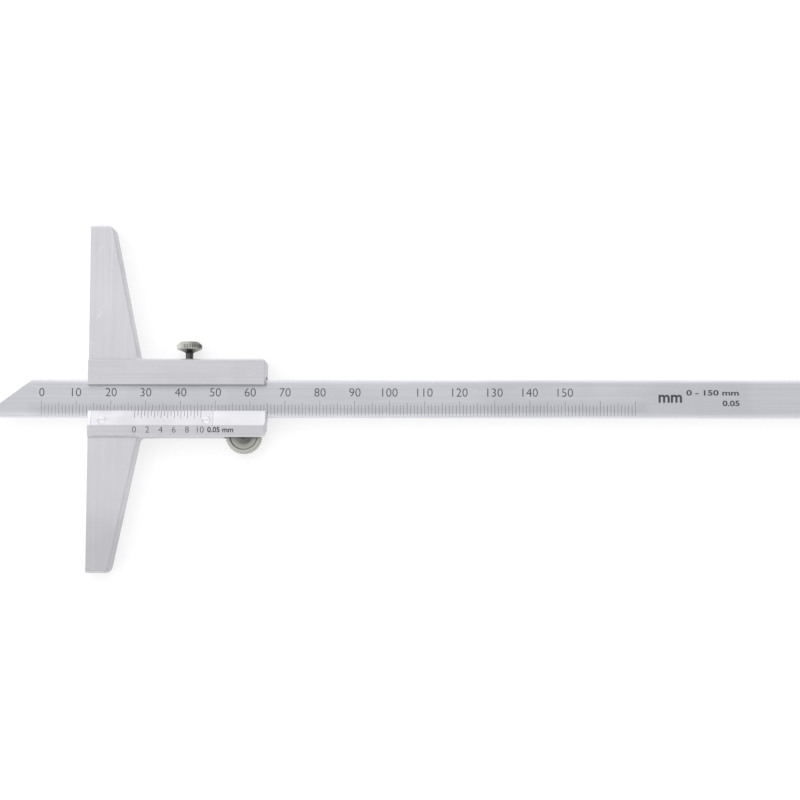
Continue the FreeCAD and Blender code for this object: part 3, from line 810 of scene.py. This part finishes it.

# %% [markdown]
# ## Frame
#
# On the front the base's wings are ground across the beam and the slider along it. The back is
# one flat face, ground along the beam in one pass. The measuring face is ground across and
# lapped. The wings are a shade paler in tone, and the bevel is painted paler still, as a
# painted highlight. The chamfers get a painted highlight too, apart from those beside the beam.
# The wings' tips are painted darker towards their ends as painted shade, the lower one most,
# and are rougher there. One material does all, because it is one piece of steel.

# %% Frame steel
SLIDER_HALF_WIDTH = 11.2
BACK_SKIN = 0.05
ACROSS_TONE = 1.06
BEVEL_FROM, BEVEL_TO = -7.85, -3.6
BEVEL_PAINTED_HIGHLIGHT = 1.12
LIP_EDGE = 5.0
FRAME_CHAMFER_HIGHLIGHT = 1.35
DULL_SHADED_TIP_FROM, DULL_SHADED_TIP_TO = 27, 42
UPPER_TIP_SHADE, LOWER_TIP_SHADE = 0.965, 0.89
HANDLED_ROUGHNESS = 1.1


def make_frame_steel():
    """Satin steel with a grain, tone and gloss for each of its places."""
    material, grain = satin_steel("satin_frame_steel", dark=(0.525, 0.525, 0.55),
                                  light=(0.602, 0.602, 0.627), scratch_and_edge_highlight_tone=(0.76, 0.76, 0.78),
                                  roughness=(0.36, 0.46))
    place = coordinates(material)
    beside = unsigned(material, place["Y"])
    on_wings = combine(material, "GREATER_THAN", beside, SLIDER_HALF_WIDTH * MM)
    off_back = combine(material, "GREATER_THAN", place["Z"], BACK_SKIN * MM)
    lapped = combine(material, "LESS_THAN", place["X"], LAPPED_DEPTH * MM)
    wing_fronts = combine(material, "MULTIPLY", on_wings, off_back)
    ground_across = combine(material, "MAXIMUM", wing_fronts, lapped)
    turn_grain(material, grain, ground_across)
    above = combine(material, "GREATER_THAN", place["Y"], BEVEL_FROM * MM)
    below = combine(material, "LESS_THAN", place["Y"], BEVEL_TO * MM)
    in_front = combine(material, "GREATER_THAN", place["Z"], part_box("beam")[1].z)
    on_bevel = combine(material, "MULTIPLY", combine(material, "MULTIPLY", above, below), in_front)
    scaled(material, "Base Color", ground_across, ACROSS_TONE)
    # The bevel is painted paler, as a painted highlight.
    scaled(material, "Base Color", on_bevel, BEVEL_PAINTED_HIGHLIGHT)
    # The chamfers away from the beam are painted brighter, as a painted highlight.
    outside = combine(material, "GREATER_THAN", beside, LIP_EDGE * MM)
    chamfer_highlight = combine(material, "MULTIPLY", chamfers(material), outside)
    scaled(material, "Base Color", chamfer_highlight, FRAME_CHAMFER_HIGHLIGHT)
    # The wings' tips are painted darker towards their ends, as painted shade, and made rougher.
    lower_way = combine(material, "MULTIPLY", place["Y"], -1.0)
    for way, tip_shade in ((place["Y"], UPPER_TIP_SHADE), (lower_way, LOWER_TIP_SHADE)):
        dull_shaded_tip = growing(material, way, DULL_SHADED_TIP_FROM, DULL_SHADED_TIP_TO)
        scaled(material, "Base Color", dull_shaded_tip, tip_shade)
        scaled(material, "Roughness", dull_shaded_tip, HANDLED_ROUGHNESS)
    scaled(material, "Roughness", lapped, LAPPED_ROUGHNESS)
    return material


frame_steel = make_frame_steel()
print("finish:", frame_steel.name)

# %% [markdown]
# ## Knurled steel
#
# The lock screw and the thumb roller have a darker, warmer nickel finish. Their edges get a
# painted highlight, and near the axis and in the neck of the lock screw the tone is painted
# darker as painted shade. So the tone follows the distance from the axis: a single tone with
# brighter edges would look like plastic.

# %% Knurled steel recipe
AXIS_SHADE_DARK = (0.09, 0.088, 0.082)
RIM_EDGE_HIGHLIGHT = (0.58, 0.58, 0.55)
KNURL_EDGE = 0.06
KNURL_FILM = 3.0
RING_DEPTH = 0.006


def knurled_steel(name, centre, across, root, crest, dark, light, roughness, neck_end=None):
    """Nickelled steel between two tones, turned about its own axis, with painted shade near it.

    Where the neck's end is given, the head beyond it in Y has no painted shade.
    """
    material, shader = start_material(name, 1.0, roughness[0], light)
    lathe = place_group(material, LATHE, Centre=centre, Across=across, Root=root, Crest=crest)
    edge = place_group(material, EDGE, Radius=KNURL_EDGE * MM)
    film = place_group(material, FILM, Size=KNURL_FILM)
    tone = mix_tones(material, lathe.outputs["Ring"], dark, light)
    # Towards the axis the tone is painted darker, as painted shade.
    axis_shade = combine(material, "SUBTRACT", 1.0, lathe.outputs["Out"])
    if neck_end is not None:
        in_neck = combine(material, "LESS_THAN", coordinates(material)["Y"], neck_end * MM)
        axis_shade = combine(material, "MULTIPLY", axis_shade, in_neck)
    tone = mix_tones(material, axis_shade, tone, AXIS_SHADE_DARK)
    unshaded = combine(material, "SUBTRACT", 1.0, axis_shade)
    # The edges outside the painted shade are painted brighter, as a painted highlight.
    edge_highlight = combine(material, "MULTIPLY", edge.outputs["Edge"], unshaded)
    tone = mix_tones(material, edge_highlight, tone, RIM_EDGE_HIGHLIGHT)
    rough = spread(material, film.outputs["Film"], *roughness)
    normal = bump(material, lathe.outputs["Ring"], RING_DEPTH, edge.outputs["Normal"])
    finish_with(material, shader, Base_Color=tone, Roughness=rough, Normal=normal)
    return material


# The tone of the painted edge highlight and of the painted shade near the axis.
print("tones of rim and oil:", RIM_EDGE_HIGHLIGHT, AXIS_SHADE_DARK)

# %% [markdown]
# ## Roller and lock screw
#
# The two have axes of their own, so each gets its own copy of the recipe. The axis is read
# from the piece's box, since both are round. The lock screw's head is also painted darker on
# one side, as painted shade.

# %% Roller and lock screw
def axis_of(node, axis):
    """A point of a node's own axis, from its box, and the two directions across it."""
    least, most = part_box(node)
    centre = (least + most) / 2
    across = [1.0, 1.0, 1.0]
    across[axis] = 0.0
    return tuple(centre), tuple(across)


LOCK_NECK_END = 14.5
SIDE_SHADE_FROM, SIDE_SHADE_TO = -0.4, 1.8
SIDE_SHADE_TONE = 0.42


def stain_one_side(material, centre_x, head_from):
    """Darkens the side of a head that lies beyond its axis in X, as painted shade."""
    place = coordinates(material)
    beyond = combine(material, "SUBTRACT", place["X"], centre_x)
    on_head = combine(material, "GREATER_THAN", place["Y"], head_from * MM)
    one_side = growing(material, beyond, SIDE_SHADE_FROM, SIDE_SHADE_TO)
    scaled(material, "Base Color", combine(material, "MULTIPLY", one_side, on_head), SIDE_SHADE_TONE)


Y_AXIS, Z_AXIS = 1, 2
roller_centre, across_roller = axis_of("thumb_roller", Z_AXIS)
lock_centre, across_lock = axis_of("lock_screw", Y_AXIS)
# Root and crest set how far out from each axis the painted shade fades.
roller_steel = knurled_steel("roller_steel", roller_centre, across_roller,
                             root=0.3, crest=4.2, dark=(0.425, 0.425, 0.395),
                             light=(0.51, 0.51, 0.48), roughness=(0.42, 0.52))
lock_steel = knurled_steel("lock_screw_steel", lock_centre, across_lock,
                           root=1.3, crest=3.3, dark=(0.45, 0.45, 0.42),
                           light=(0.57, 0.57, 0.535), roughness=(0.28, 0.36),
                           neck_end=LOCK_NECK_END)
# The +X side of the lock screw's head is painted darker, as painted shade.
stain_one_side(lock_steel, lock_centre[0], LOCK_NECK_END)
print("finishes:", roller_steel.name, lock_steel.name)

# %% [markdown]
# ## Small parts
#
# The small screws are bright turned steel. The spring arm is rolled spring steel with a bluish
# cast, the clip is tempered dark, and the gib is phosphor bronze strip. They are small or
# hidden, but they show when the gauge is turned over or slid open.

# %% Small parts
ALL_WAYS = (3.0, 3.0, 3.0)
screw_steel, _ = satin_steel("turned_screw_steel", dark=(0.78, 0.78, 0.79),
                             light=(0.9, 0.9, 0.91), scratch_and_edge_highlight_tone=(0.92, 0.92, 0.92),
                             roughness=(0.28, 0.36), stretch=ALL_WAYS, radius=0.08,
                             film_size=3.0)
spring_steel, _ = satin_steel("rolled_spring_steel", dark=(0.34, 0.35, 0.38),
                              light=(0.44, 0.45, 0.48), scratch_and_edge_highlight_tone=(0.6, 0.61, 0.64),
                              roughness=(0.28, 0.38), radius=0.05, film_size=5.0)
blued_steel, _ = satin_steel("blued_steel", dark=(0.13, 0.132, 0.138),
                             light=(0.20, 0.202, 0.21), scratch_and_edge_highlight_tone=(0.32, 0.323, 0.335),
                             roughness=(0.3, 0.4), radius=0.05, film_size=3.0)
gib_bronze, _ = satin_steel("phosphor_bronze", dark=(0.50, 0.33, 0.17),
                            light=(0.62, 0.43, 0.23), scratch_and_edge_highlight_tone=(0.72, 0.52, 0.3),
                            roughness=(0.3, 0.42), radius=0.05, film_size=6.0)
print("finishes:", screw_steel.name, spring_steel.name, blued_steel.name, gib_bronze.name)

# %% [markdown]
# ## Dressing the solids
#
# A finish is given to a solid by its material slots, so its mesh isn't touched. The axle was
# turned from the same bar as the roller and shares its finish.

# %% Dress the solids
def dress(material, *names):
    """Gives solids of the model their finish."""
    for name in names:
        slots = nodes[name].data.materials
        slots.clear()
        slots.append(material)
    print(material.name, "on", ", ".join(names))


dress(frame_steel, "slider_frame")
dress(beam_steel, "beam")
dress(vernier_steel, "vernier_plate")
dress(roller_steel, "thumb_roller", "roller_axle")
dress(lock_steel, "lock_screw")
dress(screw_steel, "vernier_screw_left", "vernier_screw_right", "gib_screw_front",
      "gib_screw_rear", "spring_screw_left", "spring_screw_right")
dress(spring_steel, "roller_spring")
dress(blued_steel, "roller_clip")
dress(gib_bronze, "gib_strip")

# %% [markdown]
# ## Ink in the engraving
#
# The scale lines are real grooves in the model. On the gauge they are filled with black
# lacquer and wiped flush. The lacquer is a plain dielectric, unlike the steel around it, so its
# Metallic is 0, and where fingers have worn it, it is greyer and duller.

# %% Ink
INK_BLACK, INK_WORN = (0.035, 0.035, 0.04), (0.07, 0.07, 0.078)
INK_SHINE, INK_DULL = 0.45, 0.7
INK_FILM = 4.0


def make_ink():
    """Black lacquer, a little greyer where it has worn."""
    material, shader = start_material("scale_ink", 0.0, INK_DULL, INK_BLACK)
    film = place_group(material, FILM, Size=INK_FILM)
    tone = mix_tones(material, film.outputs["Film"], INK_BLACK, INK_WORN)
    rough = spread(material, film.outputs["Film"], INK_SHINE, INK_DULL)
    finish_with(material, shader, Base_Color=tone, Roughness=rough)
    return material


scale_ink = make_ink()
print("finish:", scale_ink.name)

# %% [markdown]
# ## Strips of ink
#
# Each groove gets a thin strip of ink that lies just under the surface. A texture could paint
# the lines, but a strip in a groove has a real edge and catches the light of its walls. A strip
# is a block made corner by corner, and all strips of a scale are one piece, which rides on the
# metal that it fills.

# %% Strips of ink
def inked(piece, body):
    """A piece of ink that rides on a body."""
    piece.data.materials.append(scale_ink)
    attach(piece, body)
    return piece


# The corners of a block's six faces, as places in the list of its corners.
BLOCK_FACES = ((0, 1, 3, 2), (4, 6, 7, 5), (0, 4, 5, 1), (2, 3, 7, 6), (0, 2, 6, 4), (1, 5, 7, 3))


def add_block(shape, x, y, z, turn=None):
    """A block between pairs of values, in millimetres, optionally moved by a matrix."""
    corners = [shape.verts.new(Vector((a, b, c)) * MM) for a in x for b in y for c in z]
    for face in BLOCK_FACES:
        shape.faces.new([corners[i] for i in face])
    if turn is not None:
        bmesh.ops.transform(shape, matrix=turn, verts=corners)


print("faces of a strip:", len(BLOCK_FACES))

# %% [markdown]
# ## Lines of the main scale
#
# One line for each millimetre, longer at each fifth and each tenth. The same few sizes made
# the grooves, so the strips fit them.

# %% Main scale lines
SCALE_MARGIN = 0.45
LINE_WIDTH = 0.10
INK_BOTTOM, INK_TOP = 0.058, 0.015
SHORT_LINE, FIFTH_LINE, TENTH_LINE = 3.0, 3.6, 4.2


def main_line_length(number):
    """How long a line of the main scale is, from its place in the row."""
    if number % 10 == 0:
        return TENTH_LINE
    return FIFTH_LINE if number % 5 == 0 else SHORT_LINE


def across_line(x):
    """The two sides of a line in X."""
    return x - LINE_WIDTH / 2, x + LINE_WIDTH / 2


def main_scale_lines():
    """The ink in the beam's grooves."""
    shape = bmesh.new()
    start_y = beam_low.y + SCALE_MARGIN
    for number in range(SCALE_LENGTH + 1):
        add_block(shape, across_line(scale_zero_x + number),
                  (start_y, start_y + main_line_length(number)),
                  (beam_high.z - INK_BOTTOM, beam_high.z - INK_TOP))
    return inked(mesh_object("main_scale_lines", shape), "beam")


print("main scale lines:", len(main_scale_lines().data.polygons) // len(BLOCK_FACES))

# %% [markdown]
# ## Lines of the vernier
#
# Twenty divisions take nineteen millimetres, so each is a twentieth short of a millimetre.
# They lie on the bevel: the strips are made flat, then tipped and moved onto the slope.

# %% Vernier lines
plate_low, plate_high = (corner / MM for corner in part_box("vernier_plate"))
BEVEL_EDGE = 0.3
VERNIER_ZERO_X = 13.5
VERNIER_DIVISIONS = 20
VERNIER_SPAN = 19.0
VERNIER_SHORT, VERNIER_LONG = 1.7, 2.3
BEVEL_MARGIN = 0.02
slider_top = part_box("slider_frame")[1].z / MM
bevel_rise = slider_top - plate_low.z - BEVEL_EDGE
bevel_run = plate_high.y - plate_low.y
bevel_angle = math.atan2(bevel_rise, bevel_run)
ONTO_BEVEL = (Matrix.Translation(Vector((0, plate_high.y, plate_low.z + BEVEL_EDGE)) * MM)
              @ Matrix.Rotation(-bevel_angle, 4, "X"))


def vernier_lines():
    """The ink in the vernier plate's grooves."""
    shape = bmesh.new()
    for number in range(VERNIER_DIVISIONS + 1):
        x = VERNIER_ZERO_X + number * VERNIER_SPAN / VERNIER_DIVISIONS
        length = VERNIER_LONG if number % 2 == 0 else VERNIER_SHORT
        add_block(shape, across_line(x), (-length, -BEVEL_MARGIN), (-INK_BOTTOM, -INK_TOP),
                  ONTO_BEVEL)
    return inked(mesh_object("vernier_lines", shape), "slider")


print("vernier lines:", len(vernier_lines().data.polygons) // len(BLOCK_FACES))
print("bevel angle in degrees:", round(math.degrees(bevel_angle), 1))

# %% [markdown]
# ## Numbers
#
# The numbers are cut and filled like the lines. Blender's own font is turned into a thin
# solid, scaled to a measured height and set down on the metal. Only plain numbers and the
# unit are used. They end at the range: the lines beyond it are there for the vernier.

# %% Letters
INK_THICKNESS = 0.012
LETTER_STEPS = 4
LETTER_DEPTH = 0.01
THIN, BOLD = -0.008, 0.025


def letters(text, weight):
    """The mesh of a text, flat on XY, about its middle, one unit high."""
    curve = bpy.data.curves.new("letters", "FONT")
    curve.body = text
    curve.resolution_u = LETTER_STEPS
    curve.extrude = LETTER_DEPTH
    curve.offset = weight
    holder = bpy.data.objects.new("letters", curve)
    scene.collection.objects.link(holder)
    bpy.context.view_layer.update()
    mesh = bpy.data.meshes.new_from_object(holder)
    bpy.data.objects.remove(holder)
    places = [vertex.co for vertex in mesh.vertices]
    least = Vector(min(place[i] for place in places) for i in range(3))
    most = Vector(max(place[i] for place in places) for i in range(3))
    tall = most.y - least.y
    mesh.transform(Matrix.Diagonal((1 / tall, 1 / tall, 1 / (most.z - least.z), 1))
                   @ Matrix.Translation(-(least + most) / 2))
    return mesh


def write(shape, text, height, place, wide=1.0, weight=THIN):
    """Adds a text of a height in millimetres to a bmesh, centred on a place."""
    mesh = letters(text, weight)
    size = Matrix.Diagonal((height * wide * MM, height * MM, INK_THICKNESS * MM, 1))
    mesh.transform(Matrix.Translation(Vector(place) * MM) @ size)
    shape.from_mesh(mesh)
    bpy.data.meshes.remove(mesh)


print("ink thickness in mm:", INK_THICKNESS)

# %% [markdown]
# ## Where the words stand
#
# The main numbers are centred on their lines, and so are the vernier's, which stand on the lip
# below the bevel. The unit and the range fill the plain end of the beam. Their ink is made
# bolder than the numbers, as a stamp leaves it.

# %% Numbers and words
NUMBER_HEIGHT, NUMBER_Y = 2.4, 1.7
LAST_NUMBER = 150
VERNIER_NUMBER_HEIGHT, VERNIER_NUMBER_Y = 1.75, -9.15
LAST_VERNIER_NUMBER = 10
WORD_HEIGHT = 1.6
DIVISION_X = 38.2
# Each word of the label: its height, its X from the scale's zero, its Y, and how wide it is.
RANGE_WORDS = (
    ("mm", 2.3, 179.8, 0.0, 1.0),
    ("0 - 150 mm", WORD_HEIGHT, 191.8, 1.7, 1.5),
    ("0.05", WORD_HEIGHT, 197.0, -1.3, 1.35),
)


def main_scale_numbers():
    """A number at each tenth millimetre of the main scale."""
    shape = bmesh.new()
    for number in range(0, LAST_NUMBER + 1, 10):
        write(shape, str(number), NUMBER_HEIGHT, (scale_zero_x + number, NUMBER_Y, beam_high.z))
    return inked(mesh_object("main_scale_numbers", shape), "beam")


def vernier_numbers():
    """Every second vernier number, and the value of one division."""
    shape = bmesh.new()
    for number in range(0, LAST_VERNIER_NUMBER + 1, 2):
        x = VERNIER_ZERO_X + number * VERNIER_SPAN / LAST_VERNIER_NUMBER
        write(shape, str(number), VERNIER_NUMBER_HEIGHT, (x, VERNIER_NUMBER_Y, slider_top))
    write(shape, "0.05 mm", WORD_HEIGHT, (DIVISION_X, VERNIER_NUMBER_Y, slider_top), weight=BOLD)
    return inked(mesh_object("vernier_numbers", shape), "slider")


def range_label():
    """The unit and the range, near the far end of the beam."""
    shape = bmesh.new()
    for text, height, x, y, wide in RANGE_WORDS:
        write(shape, text, height, (scale_zero_x + x, y, beam_high.z), wide, BOLD)
    return inked(mesh_object("range_label", shape), "beam")


for piece in (main_scale_numbers(), vernier_numbers(), range_label()):
    print(piece.name, len(piece.data.polygons), "faces")

# %% [markdown]
# ## Measure and finish
#
# The dressed gauge is measured once more. Its box has to stay that of the solids, because the
# ink lies in the grooves and on faces that aren't the highest.

# %% Finish
low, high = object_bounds()
